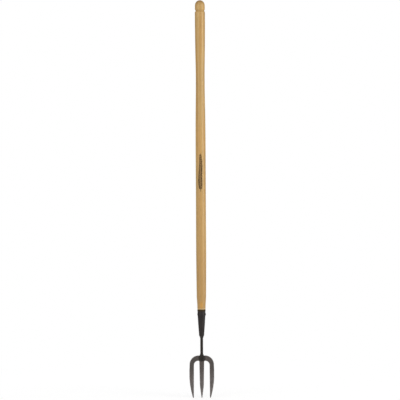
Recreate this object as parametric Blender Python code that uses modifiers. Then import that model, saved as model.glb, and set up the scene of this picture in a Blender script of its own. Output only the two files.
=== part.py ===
"""Long-handled three-tine digging fork.

An ash shaft sits in a riveted steel socket. A forged neck runs from the socket to a welded head made
of a bent yoke, which carries the two outer tines, and a centre tine. Units are metres and +Z is up.
The origin is on the shaft axis at the height of the tine tips, and the front of the fork faces -Y.
"""

import math

import bmesh
import bpy
from mathutils import Matrix, Vector

MM = 0.001
GAP = 0.3 * MM  # clearance left between pieces that touch

# Ash shaft: a domed end, a turned groove, a slim waist, a long swell and a tenon in the socket.
SHAFT_TOP = 1193.6 * MM
SHAFT_SIDES = 36
END_FLAT_RADIUS = 4.0 * MM
DOME_RADIUS = 14.8 * MM
DOME_HEIGHT = 15.4 * MM
DOME_ROWS = 8
GROOVE_CENTRE = 1162.0 * MM
GROOVE_HALF_WIDTH = 4.2 * MM
GROOVE_DEPTH = 1.9 * MM
GROOVE_ROWS = 8
GRIP_RADIUS = 15.2 * MM
SHAFT_STATIONS = (  # radius and height down the shaft
    (GRIP_RADIUS, 1120.0 * MM),
    (14.5 * MM, 1047.0 * MM),
    (13.5 * MM, 990.0 * MM),
    (13.3 * MM, 950.0 * MM),
    (13.6 * MM, 905.0 * MM),
    (14.5 * MM, 845.0 * MM),
    (15.0 * MM, 760.0 * MM),
    (14.95 * MM, 600.0 * MM),
    (15.15 * MM, 450.0 * MM),
    (14.8 * MM, 380.0 * MM),
    (14.2 * MM, 310.0 * MM),
    (13.8 * MM, 297.0 * MM),
    (12.75 * MM, 282.0 * MM),
    (12.4 * MM, 272.0 * MM),
)
ROWS_PER_STATION = 2

# Steel socket: a short collar with a raised lip, then a cone closing onto the neck.
SOCKET_TOP = 264.4 * MM
SOCKET_BOTTOM = 183.5 * MM
SOCKET_SIDES = 36
SOCKET_WALL = 1.7 * MM
LIP_RADIUS = 12.5 * MM
LIP_HEIGHT = 3.6 * MM
LIP_ROUND = 0.6 * MM
COLLAR_RADIUS = 12.05 * MM
COLLAR_BOTTOM = 247.0 * MM
CONE_TOP = 243.0 * MM
CONE_TOP_RADIUS = 11.45 * MM
CONE_BOTTOM = 191.5 * MM
CONE_BOTTOM_RADIUS = 8.0 * MM
CONE_BELLY = 0.15 * MM
SOCKET_END_RADIUS = 5.8 * MM
SOCKET_END_ROWS = 5
POCKET_BOTTOM = 201.0 * MM
TENON_BOTTOM = 203.0 * MM

# Cross rivet through the collar, domed on the right and peened over on the left.
RIVET_HEIGHT = 250.0 * MM
RIVET_RADIUS = 2.5 * MM
RIVET_SIDES = 24
RIVET_DOME_ROWS = 5
RIVET_HEADS = (  # side, head radius, height proud of the collar
    (1.0, 3.6 * MM, 1.1 * MM),
    (-1.0, 3.2 * MM, 0.6 * MM),
)

# Neck: a round rod that swings back a little and flattens into a foot on the front of the crown.
NECK_RADIUS = 4.3 * MM
NECK_TOP = 198.0 * MM
NECK_BEND_TOP = 178.0 * MM
NECK_BEND_BOTTOM = 126.5 * MM
NECK_SIDES = 24
FOOT_BLEND_TOP = 152.0 * MM
FOOT_FLARE_TOP = 133.0 * MM
FOOT_FLARE_BOTTOM = 122.5 * MM
FOOT_WIDEST = 118.5 * MM
FOOT_BOTTOM = 111.4 * MM
FOOT_HALF_WIDTH = 7.0 * MM
FOOT_HALF_THICKNESS = 1.7 * MM
FOOT_END_HALF_THICKNESS = 1.0 * MM
FOOT_SQUARENESS = 3.0
NECK_BEND_ROWS = 9
NECK_FOOT_ROWS = 12
FOOT_END_ROWS = 6

# Head: the crown stands behind the shaft axis and the tines sweep forward to their tips.
CROWN_OFFSET = 8.6 * MM
CROWN_THICKNESS = 4.8 * MM
CROWN_TOP = 125.2 * MM
CROWN_UNDERSIDE = 109.3 * MM
TINE_SWEEP_TOP = 106.0 * MM
TINE_SWEEP = 17.0 * MM
TINE_SWEEP_POWER = 1.7
TINE_MID_THICKNESS = 5.0 * MM
TINE_THINNING_TOP = 64.0 * MM
TINE_END_THICKNESS = 2.4 * MM
TINE_ROWS = 15
POINT_LENGTH = 3.0 * MM
POINT_THICKNESS = 1.2 * MM
HEAD_SIDES = 20
BAR_SQUARENESS = 5.0
BAR_FLAT = 1.04
TINE_FRONT_SQUARENESS = 1.75
TINE_BACK_SQUARENESS = 3.0

# Yoke: one bar bent round two corners, with blade-shaped outer tines.
OUTER_CORNER_RADIUS = 27.0 * MM
OUTER_CORNER_X = 9.6 * MM
OUTER_CORNER_Z = 98.2 * MM
INNER_CORNER_RADIUS = 13.0 * MM
INNER_CORNER_X = 10.5 * MM
INNER_CORNER_Z = 96.3 * MM
CORNER_BLADE = 0.45
CORNER_ROWS = 11
CROWN_ROWS = 4
OUTER_EDGE_X = 37.3 * MM
OUTER_BOW_TOP = 64.0 * MM
OUTER_BOW = 10.4 * MM
OUTER_BOW_POWER = 1.85
INNER_EDGE_TOP_X = 23.5 * MM
INNER_EDGE_TIP_X = 24.1 * MM
OUTER_TIP_X = 26.0 * MM
OUTER_TIP_HALF_WIDTH = 0.7 * MM
BLADE_LENGTH = 40.0 * MM

# Centre tine: a straight tine whose upset head butts against the underside of the crown.
CENTRE_TOP = CROWN_UNDERSIDE - GAP
CENTRE_HEAD_HALF_WIDTH = 9.6 * MM
CENTRE_HEAD_HEIGHT = 3.4 * MM
CENTRE_HEAD_ROWS = 5
CENTRE_TOP_HALF_WIDTH = 7.3 * MM
CENTRE_SHOULDER = 36.0 * MM
CENTRE_SHOULDER_HALF_WIDTH = 6.1 * MM
CENTRE_POINT_HALF_WIDTH = 1.6 * MM
CENTRE_TIP_HALF_WIDTH = 0.6 * MM

# Weld beads: round the neck below the socket, round the foot, and over the back of the head's seam.
SOCKET_BEAD_WIDTH = 1.1 * MM
SOCKET_BEAD_HEIGHT = 3.6 * MM
FOOT_BEAD_WIDTH = 2.4 * MM
FOOT_BEAD_RISE = 1.9 * MM
FOOT_BEAD_TOP = 123.5 * MM
FOOT_BEAD_ROWS = 10
SEAM_BEAD_HALF_LENGTH = 8.6 * MM
SEAM_BEAD_HALF_HEIGHT = 2.4 * MM
SEAM_BEAD_RISE = 1.3 * MM
SEAM_BEAD_ROWS = 6
SEAM_BEAD_ARC_ROWS = 8

SMOOTH_ANGLE = math.radians(35.0)
MERGE_DISTANCE = 0.01 * MM

FINISHES = {  # linear base colour, roughness, metallic
    "ash_shaft": ((0.53, 0.34, 0.145), 0.45, 0.0),
    "socket": ((0.040, 0.035, 0.031), 0.50, 0.6),
    "socket_rivet": ((0.050, 0.045, 0.042), 0.45, 0.7),
    "neck": ((0.032, 0.027, 0.024), 0.50, 0.6),
    "tine_yoke": ((0.100, 0.088, 0.084), 0.45, 0.7),
    "centre_tine": ((0.105, 0.094, 0.086), 0.45, 0.7),
    "socket_weld": ((0.034, 0.030, 0.027), 0.60, 0.5),
    "foot_weld": ((0.034, 0.028, 0.025), 0.60, 0.5),
    "seam_weld": ((0.040, 0.034, 0.030), 0.60, 0.5),
}


# Small helpers


def mix(a, b, t):
    """The value a fraction t of the way from a to b."""
    return a + (b - a) * t


def ease(t):
    """A smooth step from 0 to 1 with level ends."""
    t = min(max(t, 0.0), 1.0)
    return t * t * (3.0 - 2.0 * t)


def steps(first, last, count):
    """count values from just after first up to last, evenly spaced."""
    return [mix(first, last, i / count) for i in range(1, count + 1)]


def spline(keys, rows):
    """The keys with extra rows between them on a Catmull-Rom curve."""
    padded = [keys[0], *keys, keys[-1]]
    points = []
    for before, start, end, after in zip(padded, padded[1:], padded[2:], padded[3:]):
        for row in range(rows):
            t = row / rows
            point = []
            for a, b, c, d in zip(before, start, end, after):
                slope = (c - a) * t
                curve = (2.0 * a - 5.0 * b + 4.0 * c - d) * t**2
                twist = (3.0 * b - a - 3.0 * c + d) * t**3
                point.append(0.5 * (2.0 * b + slope + curve + twist))
            points.append(tuple(point))
    points.append(keys[-1])
    return points


def new_material(name, colour, roughness, metallic):
    material = bpy.data.materials.new(name)
    material.use_nodes = True
    shader = material.node_tree.nodes["Principled BSDF"]
    shader.inputs["Base Color"].default_value = (*colour, 1.0)
    shader.inputs["Roughness"].default_value = roughness
    shader.inputs["Metallic"].default_value = metallic
    material.diffuse_color = (*colour, 1.0)
    return material


def new_collection(name):
    collection = bpy.data.collections.new(name)
    bpy.context.scene.collection.children.link(collection)
    return collection


def new_object(name, mesh, collection):
    """A mesh object, with its own material if it is one of the fork's pieces."""
    obj = bpy.data.objects.new(name, mesh)
    collection.objects.link(obj)
    if name in FINISHES:
        mesh.materials.append(new_material(name, *FINISHES[name]))
    return obj


def add_screw(obj, axis, sides):
    screw = obj.modifiers.new("Turn", "SCREW")
    screw.axis = axis
    screw.angle = math.tau
    screw.steps = sides
    screw.render_steps = sides
    screw.use_merge_vertices = True
    screw.merge_threshold = MERGE_DISTANCE
    screw.use_smooth_shade = True
    return screw


def add_boolean(obj, label, operation, cutter):
    boolean = obj.modifiers.new(label, "BOOLEAN")
    boolean.operation = operation
    boolean.solver = "EXACT"
    boolean.object = cutter


def add_mirror(obj):
    mirror = obj.modifiers.new("Both sides", "MIRROR")
    mirror.use_axis = (True, False, False)
    mirror.use_clip = True
    mirror.use_mirror_merge = True
    mirror.merge_threshold = MERGE_DISTANCE


def turned(name, profile, sides, collection, closed=False):
    """A body of revolution about Z from (radius, height) pairs that run down its outer side first."""
    edges = [(i, i + 1) for i in range(len(profile) - 1)]
    if closed:
        edges.append((len(profile) - 1, 0))
    mesh = bpy.data.meshes.new(name)
    mesh.from_pydata([(radius, 0.0, height) for radius, height in profile], edges, [])
    obj = new_object(name, mesh, collection)
    add_screw(obj, "Z", sides)
    return obj


def lofted(name, rings, collection, open_end=None):
    """A skin over rings of equal vertex count. open_end leaves the "first" or "last" ring uncapped."""
    bm = bmesh.new()
    loops = [[bm.verts.new(point) for point in ring] for ring in rings]
    for near, far in zip(loops, loops[1:]):
        for i in range(len(near)):
            bm.faces.new((near[i - 1], near[i], far[i], far[i - 1]))
    if open_end != "first":
        bm.faces.new(loops[0])
    if open_end != "last":
        bm.faces.new(loops[-1])
    bmesh.ops.recalc_face_normals(bm, faces=bm.faces)
    mesh = bpy.data.meshes.new(name)
    bm.to_mesh(mesh)
    bm.free()
    mesh.shade_smooth()
    mesh.set_sharp_from_angle(angle=SMOOTH_ANGLE)
    return new_object(name, mesh, collection)


def rod_along_x(name, radius, start, end, height, collection):
    """A plain cylinder along X between two x positions, at the given height on the shaft axis."""
    placed = Matrix.Translation(((start + end) / 2, 0.0, height)) @ Matrix.Rotation(math.pi / 2, 4, "Y")
    bm = bmesh.new()
    bmesh.ops.create_cone(
        bm,
        cap_ends=True,
        segments=RIVET_SIDES,
        radius1=radius,
        radius2=radius,
        depth=end - start,
        matrix=placed,
    )
    mesh = bpy.data.meshes.new(name)
    bm.to_mesh(mesh)
    bm.free()
    return new_object(name, mesh, collection)


def section(sides, half_width, half_thickness, front_power, back_power, front_flat=1.0, back_flat=1.0):
    """Points (across, depth) round a superellipse whose front is at negative depth.

    A power above 2 squares that half. A flat above 1 deepens that half and trims it level again,
    which leaves a flat land in the middle.
    """
    points = []
    for i in range(sides):
        angle = math.tau * i / sides
        is_back = math.sin(angle) > 0.0
        power = back_power if is_back else front_power
        flat = back_flat if is_back else front_flat
        across = abs(math.cos(angle)) ** (2.0 / power)
        depth = min(flat * abs(math.sin(angle)) ** (2.0 / power), 1.0)
        across = math.copysign(half_width * across, math.cos(angle))
        depth = math.copysign(half_thickness * depth, math.sin(angle))
        points.append((across, depth))
    return points


# Shaft, socket and rivet


def cone_radius(height):
    """Outside radius of the socket's cone at a height."""
    return mix(CONE_TOP_RADIUS, CONE_BOTTOM_RADIUS, (CONE_TOP - height) / (CONE_TOP - CONE_BOTTOM))


def shaft_profile():
    profile = [(0.0, SHAFT_TOP)]
    dome_base = SHAFT_TOP - DOME_HEIGHT
    flat_angle = math.acos(END_FLAT_RADIUS / DOME_RADIUS)
    for row in range(DOME_ROWS + 1):
        angle = flat_angle * (1.0 - row / DOME_ROWS)
        rise = DOME_HEIGHT * math.sin(angle) / math.sin(flat_angle)
        profile.append((DOME_RADIUS * math.cos(angle), dome_base + rise))
    for row in range(GROOVE_ROWS + 1):
        across = 1.0 - 2.0 * row / GROOVE_ROWS
        rim = mix(DOME_RADIUS, GRIP_RADIUS, (1.0 - across) / 2)
        dip = GROOVE_DEPTH * math.cos(across * math.pi / 2) ** 1.5
        profile.append((rim - dip, GROOVE_CENTRE + GROOVE_HALF_WIDTH * across))
    profile.extend(spline(SHAFT_STATIONS, ROWS_PER_STATION))
    shoulder = SOCKET_TOP + GAP
    fit = SOCKET_WALL + GAP
    profile.extend(
        (
            (SHAFT_STATIONS[-1][0], shoulder),
            (COLLAR_RADIUS - fit, shoulder),
            (COLLAR_RADIUS - fit, COLLAR_BOTTOM),
            (CONE_TOP_RADIUS - fit, CONE_TOP),
            (cone_radius(TENON_BOTTOM) - fit, TENON_BOTTOM),
            (0.0, TENON_BOTTOM),
        )
    )
    return profile


def socket_profile():
    """Closed profile: down the outside, across the bottom, then up the bore."""
    lip_bottom = SOCKET_TOP - LIP_HEIGHT
    cone_middle = (CONE_TOP + CONE_BOTTOM) / 2
    outside = [
        (LIP_RADIUS - LIP_ROUND, SOCKET_TOP),
        (LIP_RADIUS - 0.2 * LIP_ROUND, SOCKET_TOP - 0.3 * LIP_ROUND),
        (LIP_RADIUS, SOCKET_TOP - LIP_ROUND),
        (LIP_RADIUS, lip_bottom + LIP_ROUND),
        (mix(COLLAR_RADIUS, LIP_RADIUS, 0.2), lip_bottom - LIP_ROUND),
        (COLLAR_RADIUS, lip_bottom - 4.0 * LIP_ROUND),
        (COLLAR_RADIUS, COLLAR_BOTTOM + 2.0 * LIP_ROUND),
        (mix(COLLAR_RADIUS, CONE_TOP_RADIUS, 0.5), mix(COLLAR_BOTTOM, CONE_TOP, 0.5)),
        (cone_radius(CONE_TOP - 4.0 * LIP_ROUND), CONE_TOP - 4.0 * LIP_ROUND),
        (cone_radius(cone_middle) + CONE_BELLY, cone_middle),
        (CONE_BOTTOM_RADIUS, CONE_BOTTOM),
    ]
    for angle in steps(0.0, math.pi / 2, SOCKET_END_ROWS):
        radius = mix(SOCKET_END_RADIUS, CONE_BOTTOM_RADIUS, math.cos(angle))
        outside.append((radius, mix(CONE_BOTTOM, SOCKET_BOTTOM, math.sin(angle))))
    rod_hole = NECK_RADIUS + GAP
    inside = [
        (rod_hole, SOCKET_BOTTOM),
        (rod_hole, POCKET_BOTTOM - SOCKET_WALL),
        (cone_radius(POCKET_BOTTOM) - SOCKET_WALL, POCKET_BOTTOM),
        (CONE_TOP_RADIUS - SOCKET_WALL, CONE_TOP),
        (COLLAR_RADIUS - SOCKET_WALL, COLLAR_BOTTOM),
        (COLLAR_RADIUS - SOCKET_WALL, SOCKET_TOP),
    ]
    return outside + inside


def build_shaft_and_socket(parts, cutters):
    shaft = turned("ash_shaft", shaft_profile(), SHAFT_SIDES, parts)
    socket = turned("socket", socket_profile(), SOCKET_SIDES, parts, closed=True)
    reach = 1.5 * LIP_RADIUS
    hole = rod_along_x("rivet_hole", RIVET_RADIUS + GAP, -reach, reach, RIVET_HEIGHT, cutters)
    add_boolean(shaft, "Rivet hole", "DIFFERENCE", hole)
    add_boolean(socket, "Rivet hole", "DIFFERENCE", hole)


def rivet_head_profile(radius, proud):
    """(distance from the shaft axis, radius) from the top of a head's dome down past its seat."""
    seat = COLLAR_RADIUS + GAP
    profile = [(COLLAR_RADIUS + proud, 0.0)]
    for angle in steps(0.0, math.pi / 2, RIVET_DOME_ROWS):
        profile.append((mix(seat, COLLAR_RADIUS + proud, math.cos(angle)), radius * math.sin(angle)))
    below_seat = 0.9 * COLLAR_RADIUS
    profile.extend(((below_seat, radius), (below_seat, 0.0)))
    return profile


def build_rivet(parts, cutters):
    """Two turned heads, hollowed to sit round the collar and then joined by the shank."""
    seat = COLLAR_RADIUS + GAP
    vertices = []
    edges = []
    for side, radius, proud in RIVET_HEADS:
        profile = rivet_head_profile(radius, proud)
        first = len(vertices)
        vertices.extend((side * x, 0.0, r) for x, r in profile)
        edges.extend((first + i, first + i + 1) for i in range(len(profile) - 1))
    mesh = bpy.data.meshes.new("socket_rivet")
    mesh.from_pydata(vertices, edges, [])
    rivet = new_object("socket_rivet", mesh, parts)
    rivet.location.z = RIVET_HEIGHT
    screw = add_screw(rivet, "X", RIVET_SIDES)
    screw.use_normal_calculate = True
    sleeve_top = RIVET_HEIGHT + COLLAR_RADIUS
    sleeve_bottom = RIVET_HEIGHT - COLLAR_RADIUS
    sleeve_profile = ((0.0, sleeve_top), (seat, sleeve_top), (seat, sleeve_bottom), (0.0, sleeve_bottom))
    sleeve = turned("rivet_seat", sleeve_profile, 2 * SOCKET_SIDES, cutters)
    add_boolean(rivet, "Seat on collar", "DIFFERENCE", sleeve)
    shank = rod_along_x("rivet_shank", RIVET_RADIUS, -seat - GAP, seat + GAP, RIVET_HEIGHT, cutters)
    add_boolean(rivet, "Shank", "UNION", shank)


# Neck


def crown_front():
    """Depth of the plane that pieces lying on the front of the crown stay in front of."""
    return CROWN_OFFSET - CROWN_THICKNESS / 2 - GAP


def neck_half_width(height):
    """The rod, a concave flare, then a foot with a rounded end."""
    if height >= FOOT_WIDEST:
        flare = ease((FOOT_FLARE_TOP - height) / (FOOT_FLARE_TOP - FOOT_FLARE_BOTTOM))
        return mix(NECK_RADIUS, FOOT_HALF_WIDTH, flare)
    drop = (FOOT_WIDEST - height) / (FOOT_WIDEST - FOOT_BOTTOM)
    return FOOT_HALF_WIDTH * math.sqrt(1.0 - drop**2)


def neck_ring(height):
    """Section of the neck: its back stays on the plane of the foot once the rod has flattened."""
    bend = ease((NECK_BEND_TOP - height) / (NECK_BEND_TOP - NECK_BEND_BOTTOM))
    flatten = ease((FOOT_BLEND_TOP - height) / (FOOT_BLEND_TOP - NECK_BEND_BOTTOM))
    thinning = ease((FOOT_WIDEST - height) / (FOOT_WIDEST - FOOT_BOTTOM))
    half_thickness = mix(NECK_RADIUS, FOOT_HALF_THICKNESS, flatten)
    half_thickness = mix(half_thickness, FOOT_END_HALF_THICKNESS, thinning)
    depth = bend * (crown_front() - FOOT_HALF_THICKNESS)
    depth += thinning * (FOOT_HALF_THICKNESS - FOOT_END_HALF_THICKNESS)
    power = mix(2.0, FOOT_SQUARENESS, flatten)
    outline = section(NECK_SIDES, neck_half_width(height), half_thickness, power, power)
    return [Vector((across, depth + thick, height)) for across, thick in outline]


def build_neck(parts):
    heights = [NECK_TOP, NECK_BEND_TOP]
    heights += steps(NECK_BEND_TOP, FOOT_FLARE_TOP, NECK_BEND_ROWS)
    heights += steps(FOOT_FLARE_TOP, FOOT_WIDEST, NECK_FOOT_ROWS)
    for angle in steps(0.0, math.pi / 2, FOOT_END_ROWS + 1)[:-1]:
        heights.append(mix(FOOT_WIDEST, FOOT_BOTTOM, math.sin(angle)))
    lofted("neck", [neck_ring(height) for height in heights], parts)


# Head


def head_depth(height):
    """Depth of the head's middle surface: upright at the crown, then sweeping forward to the tips."""
    drop = max(TINE_SWEEP_TOP - height, 0.0) / TINE_SWEEP_TOP
    return CROWN_OFFSET - TINE_SWEEP * drop**TINE_SWEEP_POWER


def head_thickness(height):
    """Thickness in the middle of the bar, from the crown down to the point of a tine."""
    if height < POINT_LENGTH:
        return mix(POINT_THICKNESS, TINE_END_THICKNESS, math.sqrt(height / POINT_LENGTH))
    below_crown = ease((TINE_SWEEP_TOP - height) / (TINE_SWEEP_TOP - TINE_THINNING_TOP))
    thickness = mix(CROWN_THICKNESS, TINE_MID_THICKNESS, below_crown)
    thinning = (TINE_THINNING_TOP - height) / (TINE_THINNING_TOP - POINT_LENGTH)
    return mix(thickness, TINE_END_THICKNESS, max(thinning, 0.0))


def head_ring(near_edge, far_edge, blade):
    """A section between two edge points (x, z). blade runs from 0, a flat bar, to 1, a ridged tine."""
    near = Vector((near_edge[0], 0.0, near_edge[1]))
    far = Vector((far_edge[0], 0.0, far_edge[1]))
    centre = (near + far) / 2
    across = (far - near).normalized()
    outline = section(
        HEAD_SIDES,
        (far - near).length / 2,
        head_thickness(centre.z) / 2,
        front_power=mix(BAR_SQUARENESS, TINE_FRONT_SQUARENESS, blade),
        back_power=mix(BAR_SQUARENESS, TINE_BACK_SQUARENESS, blade),
        front_flat=mix(BAR_FLAT, 1.0, blade),
        back_flat=BAR_FLAT,
    )
    ring = []
    for along, depth in outline:
        point = centre + across * along
        point.y = head_depth(point.z) + depth
        ring.append(point)
    return ring


def tine_heights(top):
    """Heights from below the top of a tine to its tip, closer together towards the tip."""
    heights = [top * (1.0 - t) ** 1.25 for t in steps(0.0, 1.0, TINE_ROWS)]
    heights = [height for height in heights if height > POINT_LENGTH]
    return heights + [POINT_LENGTH * share for share in (1.0, 0.6, 0.25, 0.0)]


def point_share(height):
    """1 above the rounded point of a tine, falling to 0 at its very tip."""
    return math.sqrt(1.0 - max(1.0 - height / POINT_LENGTH, 0.0) ** 2)


def outer_tine_edges(height):
    """Inner and outer x of the right-hand tine at a height."""
    bow = max(OUTER_BOW_TOP - height, 0.0) / OUTER_BOW_TOP
    outer = OUTER_EDGE_X - OUTER_BOW * bow**OUTER_BOW_POWER
    inner = mix(INNER_EDGE_TIP_X, INNER_EDGE_TOP_X, height / INNER_CORNER_Z)
    share = point_share(height)
    inner = mix(OUTER_TIP_X - OUTER_TIP_HALF_WIDTH, inner, share)
    outer = mix(OUTER_TIP_X + OUTER_TIP_HALF_WIDTH, outer, share)
    return inner, outer


def build_yoke(parts):
    """The right half, from the middle of the crown round the corner to the tip, then mirrored."""
    rings = []
    for x in [0.0] + steps(0.0, OUTER_CORNER_X, CROWN_ROWS):
        rings.append(head_ring((x, CROWN_UNDERSIDE), (x, CROWN_TOP), 0.0))
    for turn in steps(0.0, 1.0, CORNER_ROWS):
        angle = math.pi / 2 * (1.0 - turn)
        inner_x = INNER_CORNER_X + INNER_CORNER_RADIUS * math.cos(angle)
        inner_z = INNER_CORNER_Z + INNER_CORNER_RADIUS * math.sin(angle)
        outer_x = OUTER_CORNER_X + OUTER_CORNER_RADIUS * math.cos(angle)
        outer_z = OUTER_CORNER_Z + OUTER_CORNER_RADIUS * math.sin(angle)
        rings.append(head_ring((inner_x, inner_z), (outer_x, outer_z), CORNER_BLADE * ease(turn)))
    for height in tine_heights(INNER_CORNER_Z):
        inner, outer = outer_tine_edges(height)
        blade = mix(CORNER_BLADE, 1.0, ease((INNER_CORNER_Z - height) / BLADE_LENGTH))
        rings.append(head_ring((inner, height), (outer, height), blade))
    add_mirror(lofted("tine_yoke", rings, parts, open_end="first"))


def centre_half_width(height):
    """The flared head, a slow taper to the shoulder, a quicker one to the point, then the tip."""
    rise = (height - CENTRE_TOP) / CENTRE_HEAD_HEIGHT + 1.0
    if rise > 0.0:
        flare = 1.0 - math.sqrt(max(1.0 - rise**2, 0.0))
        return mix(CENTRE_TOP_HALF_WIDTH, CENTRE_HEAD_HALF_WIDTH, flare)
    if height > CENTRE_SHOULDER:
        above = (height - CENTRE_SHOULDER) / (CENTRE_TOP - CENTRE_SHOULDER)
        return mix(CENTRE_SHOULDER_HALF_WIDTH, CENTRE_TOP_HALF_WIDTH, above)
    above = max(height - POINT_LENGTH, 0.0) / (CENTRE_SHOULDER - POINT_LENGTH)
    taper = mix(CENTRE_POINT_HALF_WIDTH, CENTRE_SHOULDER_HALF_WIDTH, above)
    return mix(CENTRE_TIP_HALF_WIDTH, taper, point_share(height))


def build_centre_tine(parts):
    head_bottom = CENTRE_TOP - CENTRE_HEAD_HEIGHT
    head = [CENTRE_TOP]
    for angle in steps(0.0, math.pi / 2, CENTRE_HEAD_ROWS):
        head.append(mix(head_bottom, CENTRE_TOP, math.cos(angle)))
    rings = []
    for height in head + tine_heights(head_bottom):
        half_width = centre_half_width(height)
        blade = ease((CENTRE_TOP - height) / BLADE_LENGTH)
        rings.append(head_ring((-half_width, height), (half_width, height), blade))
    lofted("centre_tine", rings, parts)


# Welds


def build_socket_weld(parts):
    """Fillet ring between the bottom of the socket and the rod."""
    inner = NECK_RADIUS + GAP
    top = SOCKET_BOTTOM - GAP
    shape = ((1.0, 0.0), (1.0, 0.15), (0.65, 0.45), (0.3, 0.8), (0.0, 1.0), (0.0, 0.0))
    profile = [(inner + SOCKET_BEAD_WIDTH * out, top - SOCKET_BEAD_HEIGHT * down) for out, down in shape]
    turned("socket_weld", profile, SOCKET_SIDES, parts, closed=True)


def build_foot_weld(parts):
    """Right half of a fillet bead down the side of the foot and round its end, then mirrored."""
    shape = ((0.0, 0.0), (1.0, 0.0), (0.82, 0.36), (0.45, 0.78), (0.12, 1.0), (0.0, 1.0))
    half_width = FOOT_HALF_WIDTH + GAP
    end_height = FOOT_WIDEST - FOOT_BOTTOM + GAP
    path = [(half_width, height, 1.0, 0.0) for height in steps(FOOT_BEAD_TOP, FOOT_WIDEST, 3)[:-1]]
    path.insert(0, (half_width, FOOT_BEAD_TOP, 1.0, 0.0))
    for angle in [0.0] + steps(0.0, math.pi / 2, FOOT_BEAD_ROWS):
        out_x, down = math.cos(angle), math.sin(angle)
        path.append((half_width * out_x, FOOT_WIDEST - end_height * down, out_x, -down))
    rings = []
    for i, (x, z, out_x, out_z) in enumerate(path):
        size = min(0.55 + 0.225 * i, 1.0)
        ring = []
        for out, up in shape:
            reach = FOOT_BEAD_WIDTH * size * out
            depth = crown_front() - FOOT_BEAD_RISE * size * up
            ring.append(Vector((x + out_x * reach, depth, z + out_z * reach)))
        rings.append(ring)
    for point in rings[-1]:
        point.x = 0.0
    add_mirror(lofted("foot_weld", rings, parts, open_end="last"))


def build_seam_weld(parts):
    """Right half of a low bead over the back of the seam between yoke and centre tine, then mirrored."""
    seat = CROWN_OFFSET + CROWN_THICKNESS / 2 + GAP
    seam = (CROWN_UNDERSIDE + CENTRE_TOP) / 2
    rings = []
    for along in [0.0] + steps(0.0, 1.0, SEAM_BEAD_ROWS):
        size = mix(0.4, 1.0, math.sqrt(1.0 - along**3))
        ring = []
        for angle in [0.0] + steps(0.0, math.pi, SEAM_BEAD_ARC_ROWS):
            depth = seat + SEAM_BEAD_RISE * size * math.sin(angle)
            height = seam + SEAM_BEAD_HALF_HEIGHT * size * math.cos(angle)
            ring.append(Vector((SEAM_BEAD_HALF_LENGTH * along, depth, height)))
        rings.append(ring)
    add_mirror(lofted("seam_weld", rings, parts, open_end="first"))


def main():
    for obj in list(bpy.data.objects):
        bpy.data.objects.remove(obj, do_unlink=True)
    parts = new_collection("digging_fork")
    cutters = new_collection("digging_fork_cutters")
    build_shaft_and_socket(parts, cutters)
    build_rivet(parts, cutters)
    build_neck(parts)
    build_yoke(parts)
    build_centre_tine(parts)
    build_socket_weld(parts)
    build_foot_weld(parts)
    build_seam_weld(parts)
    for cutter in cutters.objects:
        cutter.hide_render = True
        cutter.display_type = "WIRE"


main()
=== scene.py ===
"""The digging fork as it looks: an ash shaft, a dark steel socket and neck, and a grey steel head.

Every piece but the burned frond is a finer version of one CAD node, and takes its size and place from
that node's box or outline. Lengths are metres in the row frame: +Z up, tine tips at the bottom, front
towards -Y.
"""

import functools
from math import ceil, copysign, cos, dist, exp, hypot, log, pi, radians, sin, sqrt, tau

import bmesh
import bpy
import numpy as np
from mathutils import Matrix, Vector, noise


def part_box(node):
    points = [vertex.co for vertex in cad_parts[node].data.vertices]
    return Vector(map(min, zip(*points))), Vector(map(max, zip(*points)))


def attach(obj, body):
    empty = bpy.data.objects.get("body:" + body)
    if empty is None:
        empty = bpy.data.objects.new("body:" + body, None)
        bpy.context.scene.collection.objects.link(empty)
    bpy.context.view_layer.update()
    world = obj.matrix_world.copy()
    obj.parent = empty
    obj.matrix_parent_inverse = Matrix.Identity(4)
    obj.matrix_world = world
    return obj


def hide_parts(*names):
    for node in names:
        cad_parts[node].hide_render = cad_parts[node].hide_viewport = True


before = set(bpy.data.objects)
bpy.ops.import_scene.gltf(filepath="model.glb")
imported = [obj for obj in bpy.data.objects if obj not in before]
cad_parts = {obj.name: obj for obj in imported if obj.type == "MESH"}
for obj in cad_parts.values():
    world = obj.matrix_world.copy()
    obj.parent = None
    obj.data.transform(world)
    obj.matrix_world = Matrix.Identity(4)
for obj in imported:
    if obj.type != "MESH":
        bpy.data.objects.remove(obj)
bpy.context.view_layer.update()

MM = 0.001
BODY = "root"

_, shaft_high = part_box("ash_shaft")
socket_low, socket_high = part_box("socket")
rivet_low, rivet_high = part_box("socket_rivet")
neck_low, neck_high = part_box("neck")
_, yoke_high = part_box("tine_yoke")
_, centre_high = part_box("centre_tine")
collar_bead_low, collar_bead_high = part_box("socket_weld")
foot_bead_low, foot_bead_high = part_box("foot_weld")
seam_bead_low, seam_bead_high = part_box("seam_weld")

# Meshes
WHOLE_RING = 0.4  # a whole ring of a CAD node has at least this share of the fullest ring's corners
RING_GAP = 0.05 * MM
SHARP_EDGE = 48.0  # degrees
FROND_SHARP_EDGE = 35.0

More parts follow.
